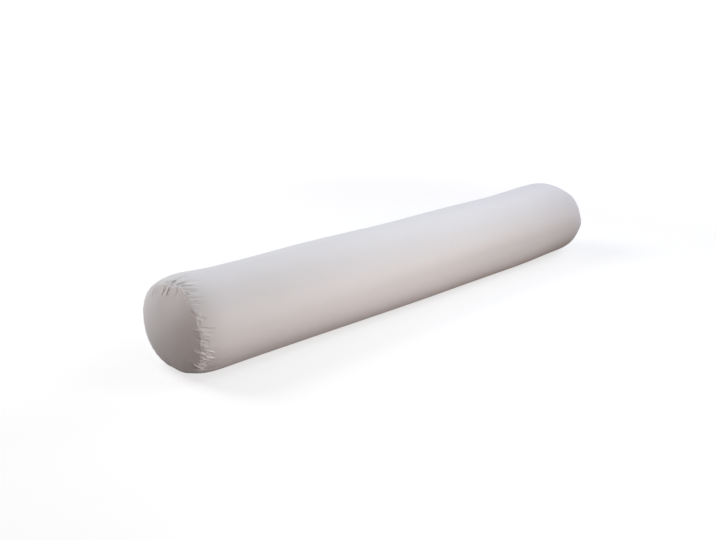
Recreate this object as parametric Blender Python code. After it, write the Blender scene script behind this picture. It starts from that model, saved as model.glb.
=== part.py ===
"""Body pillow: a long round bolster of plain white cotton, filled firm and lying on a surface.

A tube panel holds the filling, and a round panel is sewn into each end, where both cloths are
gathered. Metres, +Z up. X runs along the length, the origin is under the middle, and the
pillow rests on z = 0. Run with: blender --background --python part.py
"""
import math

import bmesh
import bpy
from mathutils import Vector

# Driving dimensions
LENGTH = 1.200            # over both end panels
WIDTH = 0.200             # across, at the widest line
HEIGHT = 0.174            # settled under its own weight
WIDEST_HEIGHT = 0.084     # of the widest line above the surface
FOOT_WIDTH = 0.044        # of the flat strip on which it rests
UNDERSIDE_POWER = 2.4     # of the superellipse below the widest line
DOME = 0.017              # how far an end panel bulges past its seam
DOME_POWER = 0.8          # under 1: a dome with a full edge
SEAM_SCALE = 0.88         # the seam's outline against the tube's full section
SHOULDER = 0.066          # along the tube, from the seam to the full section
SHOULDER_POWER = 3.0      # over 1: how late the shoulder falls to the seam
CLOTH = 0.002             # thickness of an end panel
GAP = 0.0003              # between a panel's edge and the tube's end
NESTING = 0.0006          # between a panel's inner dome and the filling's, least at the rim
AROUND = 112              # points round the tube

# Stations at which rings of points lie
SHOULDER_SHARES = (0.0, 0.06, 0.15, 0.28, 0.46, 0.70, 1.0)   # from the seam to the tube
PANEL_RADII = (1.0, 0.991, 0.96, 0.88, 0.72, 0.44, 0.0)      # from the seam to the pole
TUBE_RINGS = (-0.27, 0.0, 0.27)                              # along the straight tube

# Main gathers at the left seam. Angles are in degrees about the tube's axis, from the back
# over the top; the height is in millimetres, and so is the reach on either side of the seam.
GATHER_COLUMNS = ("angle", "half_width", "height", "on_tube", "on_panel")
GATHERS = (
    (4, 6.5, 1.3, 26, 12),
    (17, 6.5, 1.6, 22, 15),
    (31, 6.0, 1.2, 30, 12),
    (43, 5.5, 1.7, 24, 16),
    (53, 5.5, 1.9, 28, 20),
    (63, 5.5, 1.6, 22, 20),
    (74, 5.5, 2.2, 26, 14),
    (83, 5.0, 2.6, 24, 16),
    (92, 5.0, 3.2, 28, 22),
    (101, 5.0, 3.1, 34, 20),
    (110, 5.0, 2.8, 36, 18),
    (119, 5.5, 2.5, 30, 16),
    (134, 7.0, 2.0, 44, 12),
    (146, 6.0, 1.9, 30, 14),
    (157, 6.0, 2.3, 40, 12),
    (171, 7.5, 1.9, 34, 12),
    (184, 6.0, 2.1, 32, 12),
    (194, 5.0, 3.0, 34, 22),
    (202, 5.0, 3.2, 34, 20),
    (211, 5.0, 3.0, 30, 20),
    (220, 5.5, 2.7, 26, 16),
    (232, 6.0, 1.6, 24, 14),
    (245, 6.5, 1.4, 22, 12),
    (259, 6.5, 1.2, 22, 10),
    (273, 6.5, 1.2, 22, 10),
    (288, 7.0, 1.4, 26, 12),
    (302, 6.5, 1.7, 28, 14),
    (315, 6.5, 1.4, 24, 12),
    (331, 7.5, 1.5, 30, 14),
    (347, 7.0, 1.7, 28, 12),
)
GATHER_TWIST = 0.15       # degrees by which a gather leans for each millimetre along the tube
GATHER_CREST = 0.006      # from the seam to where a gather stands highest
GATHER_AT_SEAM = 0.4      # its height at the seam, against that
GATHER_FADE = 1.5         # over 1: how early a gather sinks on its way out
RIGHT_TURN = 137.0        # the right seam has the same gathers, turned by this many degrees

# Where a seam strays from its even ring towards the tube's middle
STRAY = 0.0045
STRAY_ANGLE = 112.0
STRAY_HALF_WIDTH = 45.0

# The filling's slow unevenness along the tube
SWELL = 0.0007
SWELL_WAVES = ((5.3, 1, 0.6), (9.1, 2, 2.1), (14.7, 1, 4.0))   # per metre, round, phase
SWELL_FADE_HEIGHT = 0.05  # the swell grows from none at the surface to full here

SHARP_ANGLE = math.radians(50)   # an edge turned further than this is shaded as a corner

COTTON = (0.80, 0.785, 0.775, 1.0)
COTTON_ROUGHNESS = 0.85

SEAM_X = LENGTH / 2 - DOME
LEFT, RIGHT = -1, 1
FOOT_SHARE = FOOT_WIDTH / WIDTH
UNDERSIDE_DEPTH = WIDEST_HEIGHT / (1 - FOOT_SHARE ** UNDERSIDE_POWER) ** (1 / UNDERSIDE_POWER)


def clear_scene():
    """Start from nothing."""
    for thing in list(bpy.data.objects):
        bpy.data.objects.remove(thing, do_unlink=True)


def cotton():
    """Plain white cotton cloth."""
    material = bpy.data.materials.new("cotton")
    material.use_nodes = True
    shader = material.node_tree.nodes["Principled BSDF"]
    shader.inputs["Base Color"].default_value = COTTON
    shader.inputs["Roughness"].default_value = COTTON_ROUGHNESS
    shader.inputs["Metallic"].default_value = 0.0
    return material


def section(angle):
    """The tube's settled section: across and up from the middle of its widest line."""
    cosine = math.cos(angle)
    sine = math.sin(angle)
    if sine >= 0:
        return WIDTH / 2 * cosine, (HEIGHT - WIDEST_HEIGHT) * sine
    power = 2 / UNDERSIDE_POWER
    across = WIDTH / 2 * math.copysign(abs(cosine) ** power, cosine)
    down = UNDERSIDE_DEPTH * abs(sine) ** power
    return across, -min(down, WIDEST_HEIGHT)


def bump(distance, half_width):
    """A smooth hump, 1 in the middle and 0 past its half width."""
    if abs(distance) >= half_width:
        return 0.0
    return math.cos(distance / half_width * math.pi / 2) ** 2


def degrees_between(first, second):
    """The signed turn from one angle to another, in degrees."""
    return (second - first + 180.0) % 360.0 - 180.0


def at_end(end, angle):
    """The angle, in degrees, at which the table of gathers is read for an end."""
    degrees = math.degrees(angle)
    return degrees if end == LEFT else RIGHT_TURN - degrees


def gather_lift(end, angle, distance, side):
    """How far the gathers raise the cloth at a distance from the seam, on_tube or on_panel."""
    degrees = at_end(end, angle)
    lean = GATHER_TWIST * distance * 1000 if side == "on_tube" else 0.0
    rise = GATHER_AT_SEAM + (1 - GATHER_AT_SEAM) * min(1.0, distance / GATHER_CREST)
    total = 0.0
    for row in GATHERS:
        gather = dict(zip(GATHER_COLUMNS, row))
        fade = max(0.0, 1 - distance * 1000 / gather[side]) ** GATHER_FADE
        shape = bump(degrees_between(gather["angle"] + lean, degrees), gather["half_width"])
        total += gather["height"] / 1000 * shape * fade
    return total * rise


def stray(end, angle):
    """How far along the tube the seam lies from its even ring."""
    return STRAY * bump(degrees_between(STRAY_ANGLE, at_end(end, angle)), STRAY_HALF_WIDTH)


def shoulder_scale(along):
    """The outline's scale at a share of the shoulder's length from the even seam."""
    return 1 - (1 - SEAM_SCALE) * (1 - along) ** SHOULDER_POWER


def swell(x, angle):
    """The filling's slow unevenness."""
    return SWELL * sum(math.sin(rate * x + turns * angle + phase)
                       for rate, turns, phase in SWELL_WAVES)


def on_skin(x, scale, angle, lift):
    """The point at a scale of the section, lifted outwards from it."""
    across, up = section(angle)
    outward = Vector((0.0, across, up)).normalized()
    point = Vector((x, across * scale, WIDEST_HEIGHT + up * scale)) + outward * lift
    point.z = max(point.z, 0.0)
    return point


def shoulder_point(end, share, angle):
    """On the tube's cloth, from the seam (share 0) to the full section (share 1)."""
    start = stray(end, angle) / SHOULDER
    along = start + (1 - start) * share
    scale = shoulder_scale(along)
    rise = (scale - shoulder_scale(start)) * WIDTH / 2
    distance = math.hypot((along - start) * SHOULDER, rise)
    lift = gather_lift(end, angle, distance, "on_tube")
    return on_skin(end * (SEAM_X - along * SHOULDER), scale, angle, lift)


def dome_point(end, radius, angle, inset, gathered):
    """On an end's dome or one nested inside it; radius is 1 at the seam and 0 at the pole."""
    start = stray(end, angle) / SHOULDER
    seam_scale = shoulder_scale(start)
    seam_x = SEAM_X - start * SHOULDER
    height = LENGTH / 2 - seam_x - GAP
    fall = 1 - radius ** 2
    rise = (height - inset) * fall ** DOME_POWER
    if not gathered:
        return on_skin(end * (seam_x + GAP + rise), seam_scale * radius, angle, -inset * radius)
    distance = math.hypot(rise, (1 - radius) * seam_scale * WIDTH / 2)
    lift = gather_lift(end, angle, distance, "on_panel")
    steepness = height * DOME_POWER * 2 * radius / (seam_scale * WIDTH / 2)
    flatness = fall ** (1 - DOME_POWER)
    slope = math.hypot(steepness, flatness)
    x = seam_x + GAP + rise + flatness / slope * lift
    outward = steepness / slope * lift - inset * radius
    return on_skin(end * x, seam_scale * radius, angle, outward)


def ledge_point(end, angle):
    """On the tube's end, inside the seam, where the panel's edge stands."""
    point = under_panel(end, 1.0, angle)
    point.x -= end * GAP
    return point


def tube_point(x, angle):
    """On the straight tube."""
    across, up = section(angle)
    weight = min(1.0, (WIDEST_HEIGHT + up) / SWELL_FADE_HEIGHT)
    return on_skin(x, 1.0, angle, swell(x, angle) * weight)


def closed_skin(name, stations, material):
    """A sphere whose rings are moved to the stations, from its pole at +X to the other."""
    mesh = bmesh.new()
    last = len(stations) - 1
    bmesh.ops.create_uvsphere(mesh, u_segments=AROUND, v_segments=last, radius=1.0)
    for vert in mesh.verts:
        ring = round(math.acos(max(-1.0, min(1.0, vert.co.z))) / math.pi * last)
        station, settings = stations[ring]
        vert.co = station(*settings, math.atan2(vert.co.y, vert.co.x))
    data = bpy.data.meshes.new(name)
    mesh.to_mesh(data)
    mesh.free()
    data.shade_smooth()
    data.set_sharp_from_angle(angle=SHARP_ANGLE)
    data.materials.append(material)
    thing = bpy.data.objects.new(name, data)
    bpy.context.collection.objects.link(thing)
    return thing


def under_panel(end, radius, angle):
    """On the filled tube's own domed end, just under the panel and smooth below its gathers."""
    return dome_point(end, radius, angle, CLOTH + NESTING, gathered=False)


def panel_outside(end, radius, angle):
    """On the panel's outer face."""
    return dome_point(end, radius, angle, 0.0, gathered=True)


def panel_inside(end, radius, angle):
    """On the panel's inner face."""
    return dome_point(end, radius, angle, CLOTH, gathered=True)


def tube_half(end):
    """Stations of the filled tube from one pole to the end of its shoulder."""
    half = [(under_panel, (end, radius)) for radius in reversed(PANEL_RADII)]
    half.append((ledge_point, (end,)))
    half += [(shoulder_point, (end, share)) for share in SHOULDER_SHARES]
    return half


def filled_tube(material):
    """The tube panel with its filling, one solid."""
    middle = [(tube_point, (x,)) for x in reversed(TUBE_RINGS)]
    stations = tube_half(RIGHT) + middle + tube_half(LEFT)[::-1]
    return closed_skin("pillow_tube", stations, material)


def end_panel(name, end, material):
    """A round panel sewn into an end, as a thin dome."""
    outside = [(panel_outside, (end, radius)) for radius in reversed(PANEL_RADII)]
    inside = [(panel_inside, (end, radius)) for radius in PANEL_RADII]
    stations = outside + inside
    return closed_skin(name, stations if end == RIGHT else stations[::-1], material)


def build():
    """The whole pillow, on an empty at its origin."""
    clear_scene()
    pillow = bpy.data.objects.new("body_pillow", None)
    bpy.context.collection.objects.link(pillow)
    white = cotton()
    filled_tube(white).parent = pillow
    end_panel("end_panel_left", LEFT, white.copy()).parent = pillow
    end_panel("end_panel_right", RIGHT, white.copy()).parent = pillow


build()
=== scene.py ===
"""Body pillow: a long round bolster of plain white cotton, filled firm and lying on a surface.

The pillow is made as it is sewn. The tube's cloth is cut as a straight sleeve at each end and
drawn up onto the end's seam, with the filling's pressure inside, so the spare cloth gathers by
itself, and the creases of the table below are then pressed in by hand. The round end panels are
cut flat, and are drawn up onto the same seams. Metres, +Z up, X along the pillow, the surface
it lies on at z = 0.
"""
import math

import bpy
import numpy as np
from mathutils import Matrix, Vector


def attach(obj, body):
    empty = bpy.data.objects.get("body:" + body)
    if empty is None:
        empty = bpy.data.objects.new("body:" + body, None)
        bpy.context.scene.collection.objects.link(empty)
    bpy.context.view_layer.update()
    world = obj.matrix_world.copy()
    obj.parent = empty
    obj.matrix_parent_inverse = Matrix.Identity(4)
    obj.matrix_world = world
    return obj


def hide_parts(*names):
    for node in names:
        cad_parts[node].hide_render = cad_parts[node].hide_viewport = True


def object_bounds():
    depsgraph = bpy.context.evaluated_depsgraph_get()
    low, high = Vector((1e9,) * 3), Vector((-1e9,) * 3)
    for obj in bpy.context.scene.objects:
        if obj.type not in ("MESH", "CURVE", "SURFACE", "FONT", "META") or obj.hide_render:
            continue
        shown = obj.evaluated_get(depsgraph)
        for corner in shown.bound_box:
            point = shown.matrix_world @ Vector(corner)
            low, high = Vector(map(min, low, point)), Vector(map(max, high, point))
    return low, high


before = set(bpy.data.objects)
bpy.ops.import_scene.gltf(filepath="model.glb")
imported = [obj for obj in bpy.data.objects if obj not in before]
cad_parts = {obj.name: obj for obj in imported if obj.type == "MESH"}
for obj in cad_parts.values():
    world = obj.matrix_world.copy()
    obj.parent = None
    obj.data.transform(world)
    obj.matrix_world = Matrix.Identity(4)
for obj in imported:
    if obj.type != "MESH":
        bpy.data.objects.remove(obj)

CAD_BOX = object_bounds()
LENGTH = CAD_BOX[1].x - CAD_BOX[0].x

bl_info = {
    "name": "Body Pillow",
    "version": (1, 0, 0),
    "blender": (4, 5, 0),
    "location": "View3D > Sidebar > Body Pillow",
    "description": "Sews, fills and finishes a long round pillow of plain cotton",
    "category": "Object",
}

LEFT, RIGHT = ENDS = -1, 1
SEAM_GAP = 0.0003         # between the tube's edge and a panel's, as in the solids

# The mesh: points round the pillow, and how far apart its rings lie
AROUND = 576
FINE_STEP = 0.0014        # between rings near a seam
FINE_REACH = 0.035        # how far from a seam the rings stay that fine
TUBE_GROWTH = 0.05        # how much wider the steps grow for each metre beyond
PANEL_GROWTH = 0.08
SLEEVE = 0.100            # how much of the tube is drawn up at each end
MIDDLE_STEP = 0.011       # between rings along the middle
POLE_RADIUS = 0.005       # of a panel's last ring, round its middle
ANGLES = np.arange(AROUND) * 2 * math.pi / AROUND
MERGE = 1e-5              # points this close are one
UNDER_PANEL = 0.004       # how far the tube's closed ends lie under the panels
UNDER_PANEL_RADII = (0.0, 0.2, 0.4, 0.6, 0.75, 0.87, 0.95)

# The ridges and creases of the left seam, as the sewer's fingers left them: the height in
# millimetres (below 0 for a crease), half the width, then the course over the cloth. A place
# on the course is an angle in degrees about the pillow's axis, from the back over the top, and
# the millimetres from the seam out over the tube, or below 0 in over the end panel.
CREASES = (
    (-2.4, 1.9, ((86, 12), (84, 8), (81, 3), (71, 2))),
    (2.4, 1.9, ((90, 13), (89, 8), (89, 2))),
    (1.5, 2.0, ((86, 1), (74, -1))),
    (-1.8, 2.0, ((91, 2), (96, 0), (99, 2))),
    (1.6, 1.9, ((94, 2), (94, 6))),
    (-2.6, 2.0, ((98, 4), (100, 10), (102, 22))),
    (2.4, 1.9, ((100, 2), (103, 6), (104, 17))),
    (-2.0, 2.2, ((105, 4), (108, 10), (111, 16), (114, 26))),
    (1.6, 2.4, ((112, 6), (116, 16), (118, 27))),
    (-2.0, 2.3, ((116, 2), (119, 10), (121, 24))),
    (1.6, 2.2, ((119, 2), (122, 8))),
    (-1.6, 2.0, ((126, 2), (130, 16), (132, 31))),
    (1.1, 2.4, ((129, 2), (133, 16))),
    (-1.0, 2.6, ((132, 0), (136, 10), (139, 20))),
    (-0.9, 4.0, ((93, 24), (99, 30))),
    (1.5, 2.4, ((91, -2), (91, -6), (91, -13), (89, -20))),
    (-0.7, 2.6, ((87, -3), (86, -9), (84, -18))),
    (0.8, 2.8, ((82, -4), (81, -10), (79, -21))),
    (1.0, 3.0, ((62, -4), (59, -10), (51, -18))),
    (-0.5, 3.2, ((71, -6), (67, -15), (61, -26))),
    (-0.5, 3.2, ((96, -4), (96, -12), (98, -24))),
    (-1.2, 2.4, ((102, 0), (108, -3), (113, -10))),
    (0.8, 2.4, ((102, -1), (105, -5), (109, -11))),
    (-0.5, 2.4, ((98, -3), (102, -10))),
    (0.8, 2.4, ((106, 0), (110, -3), (114, -9))),
    (-1.0, 2.2, ((109, 0), (112, -2), (118, -8))),
    (1.7, 2.2, ((102, 2), (108, 2), (114, 0))),
    (-1.5, 2.6, ((115, 0), (121, -1), (126, -1), (131, 0))),
    (-1.5, 3.0, ((142, -4), (147, 0), (151, 2))),
    (-1.6, 3.0, ((151, 3), (152, 8), (155, 15))),
    (1.3, 2.6, ((147, 4), (148, 8))),
    (1.1, 3.0, ((153, 2), (156, 8))),
    (-1.8, 2.2, ((154, 3), (158, 2), (162, 1))),
    (-2.4, 2.2, ((162, 0), (164, 5), (166, 14), (168, 27))),
    (1.4, 3.0, ((167, 6), (166, -2), (164, -12))),
    (-1.0, 2.4, ((168, 0), (169, 4))),
    (-0.9, 3.4, ((170, 8), (172, 19))),
    (1.0, 3.4, ((174, 3), (173, 9), (174, 16))),
    (-1.6, 3.0, ((177, 0), (179, 6), (181, 13))),
    (-1.2, 3.0, ((177, 0), (176, -10))),
    (-1.5, 2.2, ((181, 0), (181, 4))),
    (1.2, 2.0, ((180, -1), (185, -2))),
    (1.0, 4.5, ((184, 2), (184, 8))),
    (-2.6, 2.4, ((188, -8), (189, -3), (191, 2), (192, 8))),
    (-2.2, 2.0, ((191, 8), (192, 13), (194, 19))),
    (1.8, 2.0, ((189, 5), (190, 13), (193, 21))),
    (2.2, 2.2, ((193, -12), (193, -4), (192, 1), (196, 7))),
    (1.4, 1.5, ((193, 8), (194, 16))),
    (-2.4, 1.9, ((195, 6), (196, 14), (198, 21))),
    (2.8, 1.9, ((196, 6), (198, 10), (199, 17), (201, 24))),
    (-2.8, 1.9, ((197, -2), (198, 5), (199, 10), (202, 16), (202, 22))),
    (2.4, 1.8, ((199, 1), (201, 7), (204, 15))),
    (-1.8, 1.8, ((204, -2), (202, 2), (204, 6), (205, 13))),
    (1.7, 1.5, ((205, -1), (204, 2))),
    (-2.0, 1.6, ((209, -3), (206, 0), (207, 4))),
    (1.6, 1.5, ((206, 3), (208, 10))),
    (2.0, 1.7, ((210, -3), (210, 2), (211, 6))),
    (-2.2, 1.7, ((208, 4), (209, 7), (211, 13))),
    (1.6, 1.6, ((212, 6), (212, 14))),
    (-2.2, 1.8, ((213, -5), (212, 0), (214, 8), (215, 13))),
    (2.8, 2.2, ((216, -8), (216, -4), (216, 0), (218, 4), (218, 10), (216, 16))),
    (-2.6, 2.8, ((222, -8), (222, -4), (223, 3), (224, 12))),
    (0.4, 3.4, ((228, -8), (229, 0), (231, 10))),
    (-0.4, 2.8, ((233, -10), (234, 0), (237, 14))),
    (0.4, 3.2, ((239, -6), (240, 0), (241, 12))),
    (-0.4, 2.6, ((245, -8), (246, 2), (249, 16))),
    (0.3, 3.4, ((252, -9), (253, 0), (254, 9))),
    (-0.4, 3.0, ((258, -6), (259, 0), (262, 18))),
    (0.4, 3.2, ((266, -8), (267, 0), (268, 12))),
    (-0.4, 2.8, ((273, -12), (273, 0), (275, 10))),
    (0.3, 3.6, ((281, -6), (281, 0), (283, 14))),
    (-0.4, 2.8, ((287, -9), (288, 0), (291, 20))),
    (0.4, 3.0, ((293, -8), (294, 0), (296, 12))),
    (-0.5, 2.6, ((299, -10), (299, 0), (302, 15))),
    (0.5, 2.8, ((303, -9), (304, 0), (307, 14))),
    (-0.6, 2.6, ((308, -12), (309, 0), (311, 17))),
    (0.5, 2.8, ((313, -8), (314, 0), (315, 15))),
    (-0.4, 2.6, ((319, -10), (319, 0), (322, 11))),
    (0.3, 3.2, ((326, -7), (327, 0), (328, 10))),
    (-0.4, 2.8, ((333, -10), (334, 0), (337, 18))),
    (0.4, 3.4, ((341, -8), (341, 0), (343, 12))),
    (-0.4, 2.8, ((347, -12), (348, 0), (350, 14))),
    (0.4, 3.2, ((354, -8), (355, 0), (357, 11))),
    (-0.3, 2.8, ((2, -9), (3, 0), (5, 17))),
    (0.4, 3.0, ((9, -11), (10, 0), (12, 13))),
    (-0.4, 2.8, ((16, -10), (17, 0), (18, 15))),
    (0.4, 3.4, ((24, -9), (24, 0), (26, 10))),
    (-0.4, 2.6, ((31, -13), (32, 0), (34, 16))),
    (0.4, 2.8, ((37, -12), (38, 0), (39, 13))),
    (-0.4, 2.6, ((43, -14), (43, 0), (45, 14))),
    (-0.7, 2.6, ((56, -6), (57, 2), (59, 14))),
    (0.6, 2.8, ((64, -4), (64, 2), (66, 12))),
    (-0.7, 2.6, ((70, -3), (70, 3), (72, 15))),
    (0.6, 2.6, ((78, 2), (79, 12))),
)
CREASE_RADIUS = 0.088     # from the axis, to turn an angle into a length
CREASE_BLUNTNESS = 1.6    # over 1: a crease starts at part of its height
CREASE_RISE = 0.15        # share of its course over which it comes up to its full height
CREASE_FALL = 0.45        # and over which it sinks again
RIGHT_TURN = 137.0        # the right seam has the same ones, turned by this many degrees

# Where the sewer bunched the spare cloth: angle, half width and how much of it
BUNCHES = ((103, 34, 1.0), (208, 30, 1.0), (50, 26, 0.15), (309, 26, 0.15))

SPARE_REACH = 0.016       # from the seam, within which most of it lies
SPARE_FALL = 1.5          # how suddenly it ends there
SPARE_BEYOND = 0.05       # share of it further out

# Where a panel's dome has a fuller edge: angle, half width and how much
FULLER_ANGLE = 5.0
FULLER_HALF_WIDTH = 110.0
FULLER_EDGE = 0.32

# Where a seam strays from its even ring towards the tube's middle
STRAY = 0.0045
STRAY_ANGLE = 112.0
STRAY_HALF_WIDTH = 45.0

# Where the thread draws a seam in, or lets it out below 0: end, angle, half width, and how far
# as a share of the tube's section
DRAWN_IN = (
    (LEFT, 90, 34, 0.048),
    (RIGHT, 103, 34, 0.065),
    (RIGHT, 184, 18, -0.035),
)

# How the tube settles between its stiffer ends: where along it the settling begins and is full,
# how far the top comes down, how much squarer the underside gets, and where that begins
SETTLED_FROM_LEFT = (-0.585, -0.465)
SETTLED_FROM_RIGHT = (0.550, 0.310)
SETTLED_TOP = 0.0068
SETTLED_UNDERSIDE = 0.6
UNDERSIDE_FROM_LEFT = (-0.50, 0.05)

# The filling's slow unevenness along the tube: per metre, round, phase
SWELL = 0.0007
SWELL_WAVES = ((5.3, 1, 0.6), (9.1, 2, 2.1), (14.7, 1, 4.0))
SWELL_FADE_HEIGHT = 0.05  # the swell grows from none at the surface to full here
SWELL_REACH = (0.27, 0.50)   # from the middle: full to the first, none past the second

# Drawing up the cloth
FRAMES = 30
PULL_FRAMES = 18          # until the held edges are at the seam
CLOTH_QUALITY = 6
POINT_MASS = 0.002
SHEAR_EASE = 5            # how much more easily the cloth shears than it stretches
SEED_SHARE = 0.3          # how much of each crease the flat cloth starts with
HAND_SHARE = 0.8          # and how much is pressed in by hand afterwards
CRUMPLE = 0.00003         # the unevenness of the cut cloth, in metres
SLOW_TURNS = 8            # swells slower than this many round the seam keep the sewn outline

# The end panels
PANEL_SPARE = 0.012       # cloth eased into the rim, as a share of the radius
PANEL_SPARE_NEARNESS = 6  # how close to the rim it lies
PANEL_FOLDS = 0.3         # share of the drawn-up folds that is kept, as a panel is pulled taut
PANEL_FOLDS_FROM, PANEL_FOLDS_FULL = 0.6, 0.85   # shares of the radius


class PillowSizes(bpy.types.PropertyGroup):
    """What the pillow is cut and filled to."""
    length: bpy.props.FloatProperty(
        name="Length", description="Over both end panels", default=LENGTH,
        min=0.5, max=2.0, unit="LENGTH")
    width: bpy.props.FloatProperty(
        name="Width", description="Across, at the widest line", default=0.200,
        min=0.1, max=0.4, unit="LENGTH")
    height: bpy.props.FloatProperty(
        name="Height", description="Settled under its own weight", default=0.174,
        min=0.08, max=0.4, unit="LENGTH")
    widest_height: bpy.props.FloatProperty(
        name="Widest at", description="Height of the widest line above the surface",
        default=0.084, min=0.03, max=0.2, unit="LENGTH")
    foot_width: bpy.props.FloatProperty(
        name="Foot", description="Width of the flat strip on which it rests",
        default=0.044, min=0.005, max=0.1, unit="LENGTH")
    underside_power: bpy.props.FloatProperty(
        name="Underside fullness", description="Over 2: how square the underside is",
        default=2.4, min=1.5, max=4.0)
    dome: bpy.props.FloatProperty(
        name="Dome", description="How far an end panel bulges past its seam",
        default=0.017, min=0.002, max=0.08, unit="LENGTH")
    dome_power: bpy.props.FloatProperty(
        name="Dome fullness", description="Under 1: a dome with a full edge",
        default=0.95, min=0.4, max=1.5)
    dome_flatness: bpy.props.FloatProperty(
        name="Dome flatness", description="Over 2: a dome with a flat middle",
        default=2.0, min=1.5, max=6.0)
    seam_scale: bpy.props.FloatProperty(
        name="Seam", description="Size of a seam against the tube's full section",
        default=0.88, min=0.5, max=1.0, subtype="FACTOR")
    shoulder: bpy.props.FloatProperty(
        name="Shoulder", description="Along the tube, from the seam to the full section",
        default=0.066, min=0.01, max=0.15, unit="LENGTH")
    shoulder_power: bpy.props.FloatProperty(
        name="Shoulder roundness", description="Over 1: how late it falls to the seam",
        default=3.0, min=1.0, max=6.0)
    panel_cloth: bpy.props.FloatProperty(
        name="Panel cloth", description="Thickness of an end panel with its seam allowance",
        default=0.0012, min=0.0003, max=0.004, unit="LENGTH")


class PillowGathers(bpy.types.PropertyGroup):
    """How the cloth is gathered into the seams."""
    height: bpy.props.FloatProperty(
        name="Fold height", description="Against the heights in the table of creases",
        default=1.0, min=0.0, max=2.0, subtype="FACTOR")
    spare: bpy.props.FloatProperty(
        name="Spare cloth", description="Share of the full sleeve eased in between bunches",
        default=0.1, min=0.0, max=1.5, subtype="FACTOR")
    bunched: bpy.props.FloatProperty(
        name="Bunched cloth", description="Share of the full sleeve added in the bunches",
        default=0.8, min=0.0, max=3.0, subtype="FACTOR")
    pressure: bpy.props.FloatProperty(
        name="Filling pressure", description="How hard the filling pushes the cloth out",
        default=100.0, min=0.0, max=1000.0)
    stiffness: bpy.props.FloatProperty(
        name="Cloth stiffness", description="Along the threads", default=80.0,
        min=1.0, max=500.0)
    bending: bpy.props.FloatProperty(
        name="Cloth bending", description="How stiffly the cloth folds", default=0.01,
        min=0.0, max=5.0)


class PillowCotton(bpy.types.PropertyGroup):
    """The cotton's finish."""
    colour: bpy.props.FloatVectorProperty(
        name="Cotton", description="Colour of the cloth", subtype="COLOR", size=3,
        default=(0.742, 0.738, 0.735), min=0.0, max=1.0)
    hollow_colour: bpy.props.FloatVectorProperty(
        name="Cotton, thin places", description="Colour where the threads lie open",
        subtype="COLOR", size=3, default=(0.675, 0.668, 0.665), min=0.0, max=1.0)
    thread: bpy.props.FloatProperty(
        name="Thread pitch", description="From one thread to the next",
        default=0.0006, min=0.0002, max=0.003, unit="LENGTH")
    relief: bpy.props.FloatProperty(
        name="Thread relief", description="Height of the weave",
        default=0.00006, min=0.0, max=0.001, unit="LENGTH")
    roughness: bpy.props.FloatProperty(
        name="Roughness", description="Of the cloth", default=0.82, min=0.0, max=1.0,
        subtype="FACTOR")
    sheen: bpy.props.FloatProperty(
        name="Sheen", description="Soft shine of the cloth's nap", default=0.35,
        min=0.0, max=1.0, subtype="FACTOR")


class PillowStage(bpy.types.PropertyGroup):
    """The studio around the pillow."""
    floor_colour: bpy.props.FloatVectorProperty(
        name="Floor", description="Colour of the floor", subtype="COLOR", size=3,
        default=(0.35, 0.35, 0.35), min=0.0, max=1.0)
    floor_glow: bpy.props.FloatVectorProperty(
        name="Floor glow", description="Near the pillow up to a distance, and past another: "
        "near distance, far distance, near glow, far glow", size=4,
        default=(1.0, 2.6, 0.70, 1.0), min=0.0, max=10.0)
    bounce_colour: bpy.props.FloatVectorProperty(
        name="Bounce card", description="Colour of the card that lights from below",
        subtype="COLOR", size=3, default=(0.10, 0.10, 0.10), min=0.0, max=1.0)
    light: bpy.props.FloatProperty(
        name="Light", description="Strength of all the lamps", default=1.0,
        min=0.0, max=10.0, subtype="FACTOR")


# ---------------------------------------------------------------- shapes of the cloth

def smooth_step(value, none, full):
    """From 0 at one value to 1 at the other, with a soft start and end."""
    share = np.clip((value - none) / (full - none), 0, 1)
    return share * share * (3 - 2 * share)


def settled(x):
    """How far the tube has settled at a place along it, from 0 to 1."""
    return smooth_step(x, *SETTLED_FROM_LEFT) * smooth_step(x, *SETTLED_FROM_RIGHT)


def section(sizes, x=1.0):
    """The tube's section at a place along it: across and up from the middle of its widest
    line."""
    cosine, sine = np.cos(ANGLES), np.sin(ANGLES)
    squarer = settled(x) * smooth_step(x, *UNDERSIDE_FROM_LEFT)
    fullness = sizes.underside_power + SETTLED_UNDERSIDE * squarer
    power = 2 / fullness
    foot = (sizes.foot_width / sizes.width) ** fullness
    depth = sizes.widest_height / (1 - foot) ** (1 / fullness)
    rise = sizes.height - sizes.widest_height - SETTLED_TOP * settled(x)
    half = sizes.width / 2
    across = np.where(sine >= 0, half * cosine,
                      half * np.sign(cosine) * np.abs(cosine) ** power)
    down = np.minimum(depth * np.abs(sine) ** power, sizes.widest_height)
    return across, np.where(sine >= 0, rise * sine, -down)


def hump(distance, half_width):
    """A smooth hump, 1 in the middle and 0 past its half width."""
    share = np.clip(distance / half_width, -1, 1)
    return np.cos(share * math.pi / 2) ** 2


def degrees_between(first, second):
    """The signed turn from one angle to another, in degrees."""
    return (second - first + 180.0) % 360.0 - 180.0


def at_end(end, angle):
    """The angle, in degrees, at which the left seam's tables are read for an end."""
    degrees = np.degrees(angle)
    return degrees if end == LEFT else RIGHT_TURN - degrees


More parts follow.
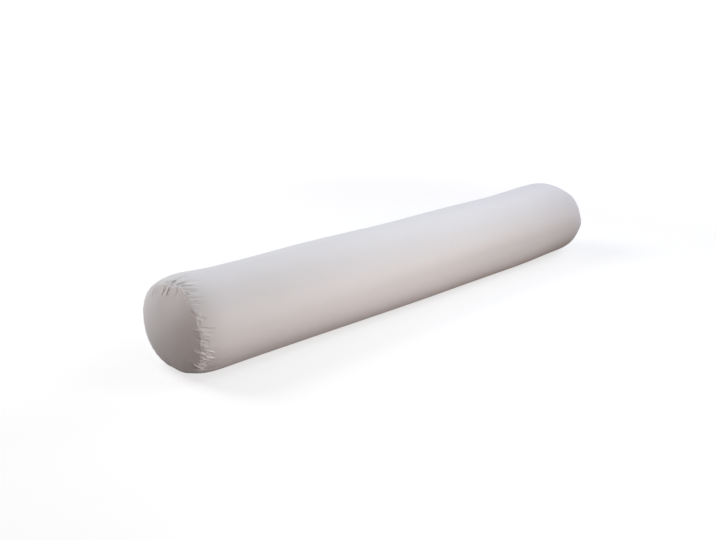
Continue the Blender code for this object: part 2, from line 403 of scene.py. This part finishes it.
def crease_lift(end, out):
    """How far the creases raise the cloth, on rings that lie this far out from the seam."""
    turn = at_end(end, ANGLES)
    total = np.zeros((len(out), AROUND))
    for height, half_width, course in CREASES:
        gap, along, length = np.full(total.shape, np.inf), np.zeros(total.shape), 0.0
        for (angle, place), (next_angle, next_place) in zip(course, course[1:]):
            round_it = np.radians(degrees_between(angle, turn)) * CREASE_RADIUS
            outwards = out[:, None] - place / 1000
            leg = (math.radians(degrees_between(angle, next_angle)) * CREASE_RADIUS,
                   (next_place - place) / 1000)
            leg_length = math.hypot(*leg)
            share = np.clip((round_it * leg[0] + outwards * leg[1]) / leg_length ** 2, 0, 1)
            away = np.hypot(round_it - share * leg[0], outwards - share * leg[1])
            along = np.where(away < gap, length + share * leg_length, along)
            gap = np.minimum(gap, away)
            length += leg_length
        along /= length
        rise = hump(1 - np.clip(along / CREASE_RISE, 0, 1), CREASE_BLUNTNESS)
        fall = hump(1 - np.clip((1 - along) / CREASE_FALL, 0, 1), 1.0)
        total += height / 1000 * hump(gap, half_width / 1000) * rise * fall
    return total


def stray(end, angle):
    """How far along the tube the seam lies from its even ring."""
    return STRAY * hump(degrees_between(STRAY_ANGLE, at_end(end, angle)), STRAY_HALF_WIDTH)


def spare_cloth(gathers, end, angle):
    """How much of the full sleeve's spare cloth is drawn up at each angle."""
    share = gathers.spare
    for bunch, half_width, amount in BUNCHES:
        turn = degrees_between(bunch, at_end(end, angle))
        share = share + gathers.bunched * amount * hump(turn, half_width)
    return share


def shoulder_scale(sizes, end, along):
    """The outline's scale at a share of the shoulder's length from the even seam."""
    seam = sizes.seam_scale
    for drawn_end, angle, half_width, depth in DRAWN_IN:
        if drawn_end == end:
            seam = seam - depth * hump(degrees_between(angle, np.degrees(ANGLES)), half_width)
    return 1 - (1 - seam) * (1 - along) ** sizes.shoulder_power


def on_section(sizes, x, scale, lift):
    """A ring of points at a scale of the section, lifted outwards from it."""
    across, up = section(sizes, x)
    radius = np.hypot(across, up)
    y = across * scale + across / radius * lift
    z = sizes.widest_height + up * scale + up / radius * lift
    return np.stack([np.broadcast_to(x, y.shape), y, np.maximum(z, 0)], -1)


def steps(reach, growth):
    """Distances from a seam at which rings lie: fine at first, then wider."""
    distances = [0.0]
    while distances[-1] < reach:
        wider = max(0.0, distances[-1] - FINE_REACH) * growth
        distances.append(distances[-1] + FINE_STEP + wider)
    return np.array(distances)


def swell(x):
    """The filling's slow unevenness."""
    full, none = SWELL_REACH
    share = np.clip((none - np.abs(x)) / (none - full), 0, 1)
    waves = sum(np.sin(rate * x + turns * ANGLES + phase) for rate, turns, phase in SWELL_WAVES)
    return SWELL * waves * share


def sewn_sleeve(sizes, end, distances, folded):
    """The tube's cloth at an end as it should lie: rings of points out from the seam."""
    start = stray(end, ANGLES) / sizes.shoulder
    lifts = crease_lift(end, distances) * folded
    rings = []
    for distance, lift in zip(distances, lifts):
        share = min(1.0, distance / sizes.shoulder)
        along = start + (1 - start) * share
        x = seam_x(sizes) - np.where(share < 1, along * sizes.shoulder, distance)
        scale = shoulder_scale(sizes, end, along)
        rings.append(on_section(sizes, end * x, scale, lift))
    return np.array(rings)


def seam_x(sizes):
    """Where an even seam lies along the pillow, from its middle."""
    return sizes.length / 2 - sizes.dome


def panel_half(sizes):
    """Half the middling width of an end panel."""
    return (sizes.width + sizes.height) / 4 * sizes.seam_scale


def panel_radii(sizes):
    """Radii at which a panel's rings lie, from 1 at the seam to 0 in the middle."""
    half = panel_half(sizes)
    rings = 1 - steps(half - POLE_RADIUS, PANEL_GROWTH) / half
    return np.append(rings[rings * half > POLE_RADIUS], 0.0)


def sewn_panel(sizes, end, radii, folded, inset=0.0):
    """An end panel as it should lie, or a dome set in under it: rings of points in from the
    seam, where a radius is 1."""
    start = stray(end, ANGLES) / sizes.shoulder
    seam = shoulder_scale(sizes, end, start)
    x = seam_x(sizes) - start * sizes.shoulder + SEAM_GAP
    height = sizes.length / 2 - x - inset
    half = seam * sizes.width / 2
    turn = degrees_between(FULLER_ANGLE, at_end(end, ANGLES))
    power = sizes.dome_power - FULLER_EDGE * hump(turn, FULLER_HALF_WIDTH)
    lifts = crease_lift(end, (np.asarray(radii) - 1) * panel_half(sizes)) * folded
    rings = []
    for radius, lift in zip(radii, lifts):
        fall = 1 - radius ** sizes.dome_flatness
        rise = height * fall ** power
        steepness = (height * power * sizes.dome_flatness
                     * radius ** (sizes.dome_flatness - 1) / half)
        flatness = fall ** (1 - power)
        slope = np.hypot(steepness, flatness)
        rings.append(on_section(sizes, end * (x + rise + flatness / slope * lift),
                                seam * radius,
                                steepness / slope * lift - inset * radius))
    return np.array(rings)


# ---------------------------------------------------------------- cloth as a mesh

def select_only(thing):
    """Nothing but this object is selected, and it is the active one."""
    bpy.ops.object.select_all(action="DESELECT")
    thing.select_set(True)
    bpy.context.view_layer.objects.active = thing


def points_of(thing):
    """The places of a mesh's points."""
    places = np.zeros(len(thing.data.vertices) * 3, np.float32)
    thing.data.vertices.foreach_get("co", places)
    return places.reshape(-1, 3).astype(float)


def move_points(holder, places):
    """Puts the points of a mesh, or of a shape key, at these places."""
    points = holder.data if isinstance(holder, bpy.types.ShapeKey) else holder.data.vertices
    points.foreach_set("co", np.ascontiguousarray(places, np.float32).ravel())


def rolled_cloth(name, stations, middle_first=False, middle_last=False):
    """A grid rolled round the pillow, its first edge merged to its last, and its points laid
    on these rings, from the -X end to the +X end. A ring that is all one point is a middle.

    Gives the object and the ring and column of each of its points.
    """
    last = len(stations) - 1
    bpy.ops.object.select_all(action="DESELECT")
    bpy.ops.mesh.primitive_grid_add(x_subdivisions=AROUND, y_subdivisions=last, size=2)
    cloth = bpy.context.object
    cloth.name = cloth.data.name = name
    flat = points_of(cloth)
    turn = np.rint((flat[:, 0] + 1) / 2 * AROUND) * 2 * math.pi / AROUND
    ring = np.rint((flat[:, 1] + 1) / 2 * last)
    wide = np.where((ring == 0) & middle_first | (ring == last) & middle_last, 0, 1)
    move_points(cloth, np.stack([wide * np.cos(turn), wide * np.sin(turn), ring / last], -1))
    bpy.ops.object.mode_set(mode="EDIT")
    bpy.ops.mesh.select_all(action="SELECT")
    bpy.ops.mesh.remove_doubles(threshold=MERGE)
    bpy.ops.object.mode_set(mode="OBJECT")
    rolled = points_of(cloth)
    ring = np.rint(rolled[:, 2] * last).astype(int)
    turn = np.arctan2(rolled[:, 1], rolled[:, 0]) / (2 * math.pi)
    column = np.rint(turn * AROUND).astype(int) % AROUND
    move_points(cloth, stations[ring, column])
    return cloth, ring, column


def map_cloth(cloth, stations, round_panel=False):
    """Makes the grid's map one in metres of cloth: round the tube and along it, or across a
    round panel as it was cut flat."""
    lengths = np.linalg.norm(np.diff(stations, axis=0), axis=2).mean(axis=1)
    along = np.concatenate([[0], np.cumsum(lengths)])
    layer = cloth.data.uv_layers.active
    layer.name = "cloth"
    places = np.zeros(len(cloth.data.loops) * 2, np.float32)
    layer.uv.foreach_get("vector", places)
    turn, ring = places.reshape(-1, 2).T
    reach = np.interp(ring * (len(along) - 1), np.arange(len(along)), along)
    if round_panel:
        middle_first = np.ptp(stations[0], axis=0).max() < MERGE
        out = reach if middle_first else along[-1] - reach
        turn = turn * 2 * math.pi
        places = np.stack([out * np.cos(turn), out * np.sin(turn)], -1)
    else:
        girth = np.linalg.norm(np.diff(stations, axis=1), axis=2).sum(axis=1).max()
        places = np.stack([turn * girth, reach], -1)
    layer.uv.foreach_set("vector", np.ascontiguousarray(places, np.float32).ravel())


# ---------------------------------------------------------------- drawing up the cloth

def hold(cloth, sewn, held):
    """Adds the shape that the held points of the cut cloth are drawn to, frame by frame."""
    cloth.shape_key_add(name="cut")
    drawn_up = cloth.shape_key_add(name="drawn up")
    move_points(drawn_up, sewn)
    for value, at_frame in ((0.0, 1), (1.0, 1 + PULL_FRAMES)):
        drawn_up.value = value
        drawn_up.keyframe_insert("value", frame=at_frame)
    group = cloth.vertex_groups.new(name="held")
    group.add(np.flatnonzero(held).tolist(), 1.0, "REPLACE")


def fill_cloth(cloth, gathers):
    """Makes it a cloth that the filling pushes out."""
    select_only(cloth)
    bpy.ops.object.modifier_add(type="CLOTH")
    modifier = cloth.modifiers[-1]
    settings = modifier.settings
    settings.quality = CLOTH_QUALITY
    settings.mass = POINT_MASS
    settings.tension_stiffness = settings.compression_stiffness = gathers.stiffness
    settings.shear_stiffness = gathers.stiffness / SHEAR_EASE
    settings.bending_stiffness = gathers.bending
    settings.vertex_group_mass = "held"
    settings.pin_stiffness = 1
    settings.use_pressure = True
    settings.uniform_pressure_force = gathers.pressure
    settings.effector_weights.gravity = 0
    modifier.collision_settings.use_collision = False
    modifier.point_cache.frame_start, modifier.point_cache.frame_end = 1, FRAMES


def draw_up(gathers, cuts):
    """Draws the cut cloths up onto their seams together, and gives the rings they end as.

    A cut has its rings flat, its rings sewn, how many rings are held at the tube's side, and
    whether its first or its last ring is a middle.
    """
    cloths = []
    for flat, sewn, held_rings, middle_first, middle_last in cuts:
        cloth, ring, column = rolled_cloth("cut", flat, middle_first, middle_last)
        hold(cloth, sewn[ring, column], np.isin(ring, held_rings))
        fill_cloth(cloth, gathers)
        cloths.append((cloth, ring, column, flat.shape))
    for at_frame in range(1, FRAMES + 1):
        bpy.context.scene.frame_set(at_frame)
    drawn = []
    for cloth, ring, column, shape in cloths:
        select_only(cloth)
        bpy.ops.object.convert(target="MESH")
        places = points_of(cloth)
        rings = np.zeros(shape)
        rings[ring, column] = places
        for last in (0, shape[0] - 1):
            if np.count_nonzero(ring == last) == 1:
                rings[last] = places[ring == last]
        drawn.append(rings)
    for cloth, *_ in cloths:
        bpy.data.objects.remove(cloth, do_unlink=True)
    bpy.context.scene.frame_set(1)
    return drawn


def keep_outline(drawn, smooth, sewn, fade):
    """The drawn-up folds on the smooth outline: slow swells round the seam are left out, and
    the creases are pressed in by hand for the rest of their depth."""
    waves = np.fft.rfft(drawn - smooth, axis=1)
    waves[:, :SLOW_TURNS] = 0
    folds = np.fft.irfft(waves, n=AROUND, axis=1)
    kept = smooth + folds * fade[:, None, None] + (sewn - smooth) * HAND_SHARE
    kept[..., 2] = np.maximum(kept[..., 2], 0)
    return kept


def hand_over(smooth, sewn):
    """Where the seam holds the cloth while it is drawn up, before the hand pressing."""
    return smooth + (sewn - smooth) * (1 - HAND_SHARE)


def flat_sleeve(sizes, gathers, end, distances, smooth, sewn, rng):
    """The tube's cloth at an end before it is drawn up, with the start of each fold."""
    start = stray(end, ANGLES) / sizes.shoulder
    share = np.minimum(1, distances / sizes.shoulder)[:, None]
    scale = shoulder_scale(sizes, end, start + (1 - start) * share)
    near = SPARE_BEYOND + (1 - SPARE_BEYOND) * np.exp(-(distances / SPARE_REACH) ** SPARE_FALL)
    cut = scale + (1 - scale) * spare_cloth(gathers, end, ANGLES) * near[:, None]
    across, up = np.array([section(sizes, x) for x in smooth[..., 0]]).swapaxes(0, 1)
    radius = np.hypot(across, up)
    lengths = np.linalg.norm(np.diff(smooth, axis=0), axis=2)
    along = np.sqrt(np.maximum(lengths ** 2 - np.diff(cut * radius, axis=0) ** 2, 1e-9))
    from_far = np.vstack([np.cumsum(along[::-1], axis=0)[::-1], np.zeros((1, AROUND))])
    flat = np.stack([smooth[-1, 0, 0] + end * from_far, across * cut,
                     sizes.widest_height + up * cut], -1)
    outward = np.stack([0 * across, across, up], -1) / radius[..., None]
    seeds = ((sewn - smooth) * outward).sum(-1) * SEED_SHARE
    flat += outward * seeds[..., None] + rng.normal(0, CRUMPLE, flat.shape)
    flat[-2:] = smooth[-2:]
    return flat


def flat_panel(sizes, end, smooth, sewn, rng):
    """An end panel before it is drawn up: flat, and as wide as its dome is round."""
    lengths = np.linalg.norm(np.diff(smooth, axis=0), axis=2)
    radius = np.vstack([np.cumsum(lengths[::-1], axis=0)[::-1], np.zeros((1, AROUND))])
    radius *= 1 + PANEL_SPARE * (radius / radius.max()) ** PANEL_SPARE_NEARNESS
    across, up = section(sizes)
    unit = np.stack([across, up], -1) / np.hypot(across, up)[:, None]
    lift = np.linalg.norm(sewn - smooth, axis=2) * SEED_SHARE
    flat = np.stack([end * (sizes.length / 2 - sizes.dome + lift), unit[:, 0] * radius,
                     sizes.widest_height + unit[:, 1] * radius], -1)
    flat[:-1] += rng.normal(0, CRUMPLE, flat[:-1].shape)
    return flat


def sleeves(sizes, gathers):
    """The tube's cloth at both ends, drawn up onto the seams, as rings out from each seam."""
    distances = steps(SLEEVE, TUBE_GROWTH)
    rng = np.random.default_rng(4)
    smooth = [sewn_sleeve(sizes, end, distances, 0.0) for end in ENDS]
    sewn = [sewn_sleeve(sizes, end, distances, gathers.height) for end in ENDS]
    cuts = []
    for end, even, folded in zip(ENDS, smooth, sewn):
        flat = flat_sleeve(sizes, gathers, end, distances, even, folded, rng)
        held = np.array([0, len(flat) - 2, len(flat) - 1])
        held = held if end == LEFT else len(flat) - 1 - held
        cuts.append((towards_x(end, flat), towards_x(end, hand_over(even, folded)), held,
                     False, False))
    fade = np.clip((distances[-1] - distances) / (SLEEVE - sizes.shoulder), 0, 1)
    return [keep_outline(towards_x(end, rings), even, folded, fade)
            for end, rings, even, folded in zip(ENDS, draw_up(gathers, cuts), smooth, sewn)]


def panels(sizes, gathers):
    """Both end panels, drawn up onto the seams and pushed out, as rings in from each seam."""
    radii = panel_radii(sizes)
    rng = np.random.default_rng(7)
    smooth = [sewn_panel(sizes, end, radii, 0.0) for end in ENDS]
    sewn = [sewn_panel(sizes, end, radii, gathers.height) for end in ENDS]
    cuts = []
    for end, even, folded in zip(ENDS, smooth, sewn):
        flat = towards_x(-end, flat_panel(sizes, end, even, folded, rng))
        held = np.array([len(flat) - 1 if end == LEFT else 0])
        cuts.append((flat, towards_x(-end, hand_over(even, folded)), held,
                     end == LEFT, end == RIGHT))
    fade = PANEL_FOLDS * np.clip((radii - PANEL_FOLDS_FROM)
                                 / (PANEL_FOLDS_FULL - PANEL_FOLDS_FROM), 0, 1)
    return [keep_outline(towards_x(-end, rings), even, folded, fade)
            for end, rings, even, folded in zip(ENDS, draw_up(gathers, cuts), smooth, sewn)]


def towards_x(end, rings):
    """Rings that run from the left seam towards +X, and from the right one away from it, put
    in the order in which they lie along X."""
    return rings if end == LEFT else rings[::-1]


# ---------------------------------------------------------------- pieces

def middle_rings(sizes):
    """The straight tube between the two sleeves."""
    reach = seam_x(sizes) - steps(SLEEVE, TUBE_GROWTH)[-1]
    count = round(2 * reach / MIDDLE_STEP)
    _, up = section(sizes)
    weight = np.minimum(1, (sizes.widest_height + up) / SWELL_FADE_HEIGHT)
    return np.array([on_section(sizes, x, 1.0, swell(x) * weight)
                     for x in np.linspace(-reach, reach, count + 1)[1:-1]])


def under_panel(sizes, end):
    """The tube's own closed end, out of sight under the panel, from its middle to the seam."""
    return sewn_panel(sizes, end, UNDER_PANEL_RADII, 0.0, inset=UNDER_PANEL)


def filled_tube(sizes, gathers):
    """The tube's cloth with the filling in it, from one end to the other."""
    left, right = sleeves(sizes, gathers)
    stations = np.concatenate([under_panel(sizes, LEFT), left, middle_rings(sizes),
                               right[::-1], under_panel(sizes, RIGHT)[::-1]])
    tube, *_ = rolled_cloth("filled_tube", stations, True, True)
    map_cloth(tube, stations)
    tube.data.shade_smooth()
    return tube


def end_panel(name, sizes, end, rings):
    """A round end panel, with the thickness of its cloth and seam allowance."""
    stations = towards_x(-end, rings)
    panel, *_ = rolled_cloth(name, stations, end == LEFT, end == RIGHT)
    map_cloth(panel, stations, round_panel=True)
    panel.data.shade_smooth()
    select_only(panel)
    bpy.ops.object.modifier_add(type="SOLIDIFY")
    panel.modifiers[-1].thickness = sizes.panel_cloth
    panel.modifiers[-1].offset = -1
    bpy.ops.object.modifier_apply(modifier=panel.modifiers[-1].name)
    return panel


# ---------------------------------------------------------------- the cotton

def node(tree, kind, place, **settings):
    """A node with its inputs and properties set."""
    made = tree.nodes.new(kind)
    made.location = place
    for key, value in settings.items():
        if key in made.inputs:
            made.inputs[key].default_value = value
        else:
            setattr(made, key, value)
    return made


# The cotton's unevenness: how fine it is, and how many finer layers it has
SLUBS = {"Scale": 900.0, "Detail": 2.0}
CLOUDS = {"Scale": 14.0, "Detail": 3.0}
RUMPLES = {"Scale": 60.0, "Detail": 4.0, "Roughness": 0.55}
TONE_SHARE = 0.35         # of the slubs and of the clouds in the cloth's tone
RUMPLE_STRENGTH, RUMPLE_HEIGHT = 0.35, 0.0006
SHEEN_ROUGHNESS = 0.5
GLOSS = 0.25


def cotton(name, finish):
    """Plain-woven white cotton: threads, their unevenness and a soft nap."""
    material = bpy.data.materials.new(name)
    material.use_nodes = True
    tree = material.node_tree
    link = tree.links.new
    shader = tree.nodes["Principled BSDF"]
    shader.inputs["Roughness"].default_value = finish.roughness
    shader.inputs["Sheen Weight"].default_value = finish.sheen
    shader.inputs["Sheen Roughness"].default_value = SHEEN_ROUGHNESS
    shader.inputs["Specular IOR Level"].default_value = GLOSS

    cloth = node(tree, "ShaderNodeUVMap", (-1500, 0), uv_map="cloth")
    split = node(tree, "ShaderNodeSeparateXYZ", (-1300, 0))
    link(cloth.outputs["UV"], split.inputs["Vector"])
    threads = []
    for axis, y in (("X", 100), ("Y", -100)):
        turn = node(tree, "ShaderNodeMath", (-1100, y), operation="MULTIPLY")
        turn.inputs[1].default_value = math.pi / finish.thread
        wave = node(tree, "ShaderNodeMath", (-900, y), operation="SINE")
        link(split.outputs[axis], turn.inputs[0])
        link(turn.outputs[0], wave.inputs[0])
        threads.append(wave)
    weave = node(tree, "ShaderNodeMath", (-700, 0), operation="MULTIPLY")
    link(threads[0].outputs[0], weave.inputs[0])
    link(threads[1].outputs[0], weave.inputs[1])

    place = node(tree, "ShaderNodeTexCoord", (-1500, -400))
    slub = node(tree, "ShaderNodeTexNoise", (-1100, -400), **SLUBS)
    link(cloth.outputs["UV"], slub.inputs["Vector"])
    cloud = node(tree, "ShaderNodeTexNoise", (-1100, -700), **CLOUDS)
    link(place.outputs["Object"], cloud.inputs["Vector"])
    rumple = node(tree, "ShaderNodeTexNoise", (-1100, -1000), **RUMPLES)
    link(place.outputs["Object"], rumple.inputs["Vector"])

    tone = node(tree, "ShaderNodeMath", (-500, -500), operation="MULTIPLY_ADD")
    tone.inputs[1].default_value = TONE_SHARE
    link(cloud.outputs["Fac"], tone.inputs[0])
    spread = node(tree, "ShaderNodeMath", (-700, -400), operation="MULTIPLY")
    spread.inputs[1].default_value = TONE_SHARE
    link(slub.outputs["Fac"], spread.inputs[0])
    link(spread.outputs[0], tone.inputs[2])
    mix = node(tree, "ShaderNodeMix", (-300, 200), data_type="RGBA")
    mix.inputs[6].default_value = (*finish.colour, 1)
    mix.inputs[7].default_value = (*finish.hollow_colour, 1)
    link(tone.outputs[0], mix.inputs["Factor"])
    link(mix.outputs[2], shader.inputs["Base Color"])

    soft = node(tree, "ShaderNodeBump", (-300, -700), Strength=RUMPLE_STRENGTH,
                Distance=RUMPLE_HEIGHT)
    link(rumple.outputs["Fac"], soft.inputs["Height"])
    woven = node(tree, "ShaderNodeBump", (-100, -400), Strength=1.0, Distance=finish.relief)
    link(weave.outputs[0], woven.inputs["Height"])
    link(soft.outputs["Normal"], woven.inputs["Normal"])
    link(woven.outputs["Normal"], shader.inputs["Normal"])
    return material


def finish_piece(thing, finish, node_name):
    """Gives a piece its cotton and its body, and hides the solid it stands for."""
    thing.data.materials.clear()
    thing.data.materials.append(cotton(f"{thing.name}_cotton", finish))
    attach(thing, "root")
    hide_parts(node_name)


# ---------------------------------------------------------------- the stage

LAMPS = (
    # name, place, size, watts, colour
    ("window_light", (2.443, 0.0, 0.989), 1.4, 30.3, (0.8, 0.79, 1.0)),
    ("wall_light", (-0.996, 1.725, 1.771), 1.6, 50.0, (0.983, 0.97, 1.0)),
    ("low_back_light", (-1.298, 2.249, 0.236), 1.0, 18.7, (0.715, 0.955, 1.0)),
    ("low_side_light", (-2.249, 1.298, 0.236), 1.0, 14.1, (1.0, 0.69, 0.61)),
    ("low_front_light", (-0.5, -1.182, 0.308), 0.7, 7.5, (1.0, 0.875, 0.84)),
    ("low_far_light", (0.260, -0.905, 0.308), 0.7, 1.4, (1.0, 0.5, 0.274)),
    ("high_far_light", (0.2, -0.72, 0.88), 0.7, 5.8, (0.76, 0.92, 1.0)),
)
WORLD = (1.0, 1.0, 1.0)
WORLD_STRENGTH = 0.04

CAMERA_PLACE = (-1.2857, -1.1584, 0.6006)
CAMERA_AZIMUTH = 0.78186  # to the right of +Y, in radians
CAMERA_ELEVATION = 0.30364
CAMERA_LENS = 41.68
SENSOR = 36.0
CLIP_NEAR, CLIP_FAR = 0.05, 50.0

FLOOR_SIDES = 96
FLOOR_RADIUS, COVE_RADIUS, COVE_STEPS, WALL_TOP = 4.0, 2.0, 10, 6.0
CARD_SIZE, CARD_HEIGHT = 10.0, -0.001


def plain(name, colour):
    """A matt paint, and its shader's tree."""
    material = bpy.data.materials.new(name)
    material.use_nodes = True
    tree = material.node_tree
    shader = tree.nodes["Principled BSDF"]
    shader.inputs["Base Color"].default_value = (*colour, 1)
    shader.inputs["Roughness"].default_value = 1.0
    shader.inputs["Specular IOR Level"].default_value = 0.0
    return material, tree, shader


def pale_floor(stage):
    """The floor's paint, which glows enough to stay even out to the wall."""
    material, tree, shader = plain("pale_floor", stage.floor_colour)
    place = node(tree, "ShaderNodeTexCoord", (-900, 0))
    reach = node(tree, "ShaderNodeVectorMath", (-700, 0), operation="LENGTH")
    glow = node(tree, "ShaderNodeMapRange", (-500, 0), interpolation_type="SMOOTHSTEP")
    for key, value in zip(("From Min", "From Max", "To Min", "To Max"), stage.floor_glow):
        glow.inputs[key].default_value = value
    tree.links.new(place.outputs["Object"], reach.inputs[0])
    tree.links.new(reach.outputs["Value"], glow.inputs["Value"])
    tree.links.new(glow.outputs["Result"], shader.inputs["Emission Strength"])
    shader.inputs["Emission Color"].default_value = (1, 1, 1, 1)
    return material


def studio_floor(stage):
    """A round floor whose edge rises into a wall all round. It is seen but lights nothing."""
    bpy.ops.object.select_all(action="DESELECT")
    top = FLOOR_RADIUS + COVE_RADIUS
    bpy.ops.mesh.primitive_circle_add(vertices=FLOOR_SIDES, radius=top,
                                      location=(0, 0, WALL_TOP))
    floor = bpy.context.object
    floor.name = floor.data.name = "floor"
    bpy.ops.object.transform_apply()
    bpy.ops.object.mode_set(mode="EDIT")
    rim = [(top, WALL_TOP)]
    for turn in range(COVE_STEPS + 1):
        bend = math.pi / 2 * turn / COVE_STEPS
        rim.append((FLOOR_RADIUS + COVE_RADIUS * math.cos(bend),
                    COVE_RADIUS * (1 - math.sin(bend))))
    for (radius, height), (next_radius, next_height) in zip(rim, rim[1:]):
        bpy.ops.mesh.extrude_region_move(
            TRANSFORM_OT_translate={"value": (0, 0, next_height - height)})
        grow = next_radius / radius
        bpy.ops.transform.resize(value=(grow, grow, 1), center_override=(0, 0, next_height))
    bpy.ops.mesh.edge_face_add()
    bpy.ops.mesh.select_all(action="SELECT")
    bpy.ops.mesh.normals_make_consistent(inside=True)
    bpy.ops.object.mode_set(mode="OBJECT")
    floor.data.shade_smooth()
    floor.data.materials.append(pale_floor(stage))
    floor.visible_diffuse = floor.visible_glossy = floor.visible_shadow = False


def bounce_card(stage):
    """A card under the pillow that gives it warm light from below, and isn't seen."""
    bpy.ops.object.select_all(action="DESELECT")
    bpy.ops.mesh.primitive_plane_add(size=CARD_SIZE, location=(0, 0, CARD_HEIGHT))
    card = bpy.context.object
    card.name = "bounce_card"
    card.data.materials.append(plain("warm_card", stage.bounce_colour)[0])
    card.visible_camera = False


def lamps(stage):
    """Soft boxes all aimed at the pillow, and a dim world."""
    for name, place, size, watts, colour in LAMPS:
        light = bpy.data.lights.new(name, "AREA")
        light.shape, light.size = "DISK", size
        light.energy, light.color = watts * stage.light, colour
        lamp = bpy.data.objects.new(name, light)
        lamp.location = place
        lamp.rotation_euler = Vector(place).to_track_quat("Z", "Y").to_euler()
        bpy.context.scene.collection.objects.link(lamp)
    world = bpy.data.worlds.new("studio")
    world.use_nodes = True
    sky = world.node_tree.nodes["Background"]
    sky.inputs["Color"].default_value = (*WORLD, 1)
    sky.inputs["Strength"].default_value = WORLD_STRENGTH
    bpy.context.scene.world = world


def camera():
    """The camera, at the height of someone who looks down along the pillow."""
    data = bpy.data.cameras.new("camera")
    data.lens, data.sensor_width = CAMERA_LENS, SENSOR
    data.clip_start, data.clip_end = CLIP_NEAR, CLIP_FAR
    eye = bpy.data.objects.new("camera", data)
    level = math.cos(CAMERA_ELEVATION)
    forward = Vector((math.sin(CAMERA_AZIMUTH) * level, math.cos(CAMERA_AZIMUTH) * level,
                      -math.sin(CAMERA_ELEVATION)))
    eye.matrix_world = (Matrix.Translation(CAMERA_PLACE)
                        @ forward.to_track_quat("-Z", "Y").to_matrix().to_4x4())
    bpy.context.scene.collection.objects.link(eye)
    bpy.context.scene.camera = eye


# ---------------------------------------------------------------- operators

class BODYPILLOW_OT_tube(bpy.types.Operator):
    """Gathers the tube's cloth at both ends and fills it"""
    bl_idname = "body_pillow.tube"
    bl_label = "Fill the Tube"

    def execute(self, context):
        scene = context.scene
        tube = filled_tube(scene.pillow_sizes, scene.pillow_gathers)
        finish_piece(tube, scene.pillow_cotton, "pillow_tube")
        return {"FINISHED"}


class BODYPILLOW_OT_end_panels(bpy.types.Operator):
    """Sews a round panel into each end"""
    bl_idname = "body_pillow.end_panels"
    bl_label = "Sew In the End Panels"

    def execute(self, context):
        scene = context.scene
        sizes = scene.pillow_sizes
        drawn = panels(sizes, scene.pillow_gathers)
        for end, side, rings in zip(ENDS, ("left", "right"), drawn):
            panel = end_panel(f"end_cloth_{side}", sizes, end, rings)
            finish_piece(panel, scene.pillow_cotton, f"end_panel_{side}")
        return {"FINISHED"}


class BODYPILLOW_OT_stage(bpy.types.Operator):
    """Sets the pale floor, the soft lamps and the camera"""
    bl_idname = "body_pillow.stage"
    bl_label = "Set the Stage"

    def execute(self, context):
        stage = context.scene.pillow_stage
        studio_floor(stage)
        bounce_card(stage)
        lamps(stage)
        camera()
        context.scene.view_settings.view_transform = "Standard"
        return {"FINISHED"}


class BODYPILLOW_PT_sidebar(bpy.types.Panel):
    """The pillow's sizes, colours and steps."""
    bl_label = "Body Pillow"
    bl_space_type = "VIEW_3D"
    bl_region_type = "UI"
    bl_category = "Body Pillow"

    def draw(self, context):
        for name in GROUPS:
            box = self.layout.box()
            group = getattr(context.scene, name)
            for key in group.__annotations__:
                box.prop(group, key)
        for step in OPERATORS:
            self.layout.operator(step.bl_idname)


GROUPS = {
    "pillow_sizes": PillowSizes,
    "pillow_gathers": PillowGathers,
    "pillow_cotton": PillowCotton,
    "pillow_stage": PillowStage,
}
OPERATORS = (BODYPILLOW_OT_tube, BODYPILLOW_OT_end_panels, BODYPILLOW_OT_stage)


def register():
    """Makes the sizes, steps and sidebar known to Blender."""
    for group in GROUPS.values():
        bpy.utils.register_class(group)
    for name, group in GROUPS.items():
        setattr(bpy.types.Scene, name, bpy.props.PointerProperty(type=group))
    for step in (*OPERATORS, BODYPILLOW_PT_sidebar):
        bpy.utils.register_class(step)


def unregister():
    """Takes them away again."""
    for step in (BODYPILLOW_PT_sidebar, *reversed(OPERATORS)):
        bpy.utils.unregister_class(step)
    for name, group in reversed(list(GROUPS.items())):
        delattr(bpy.types.Scene, name)
        bpy.utils.unregister_class(group)


def main():
    """Makes the whole pillow and its stage."""
    register()
    bpy.ops.body_pillow.tube()
    bpy.ops.body_pillow.end_panels()
    bpy.ops.body_pillow.stage()


if __name__ == "__main__":
    main()
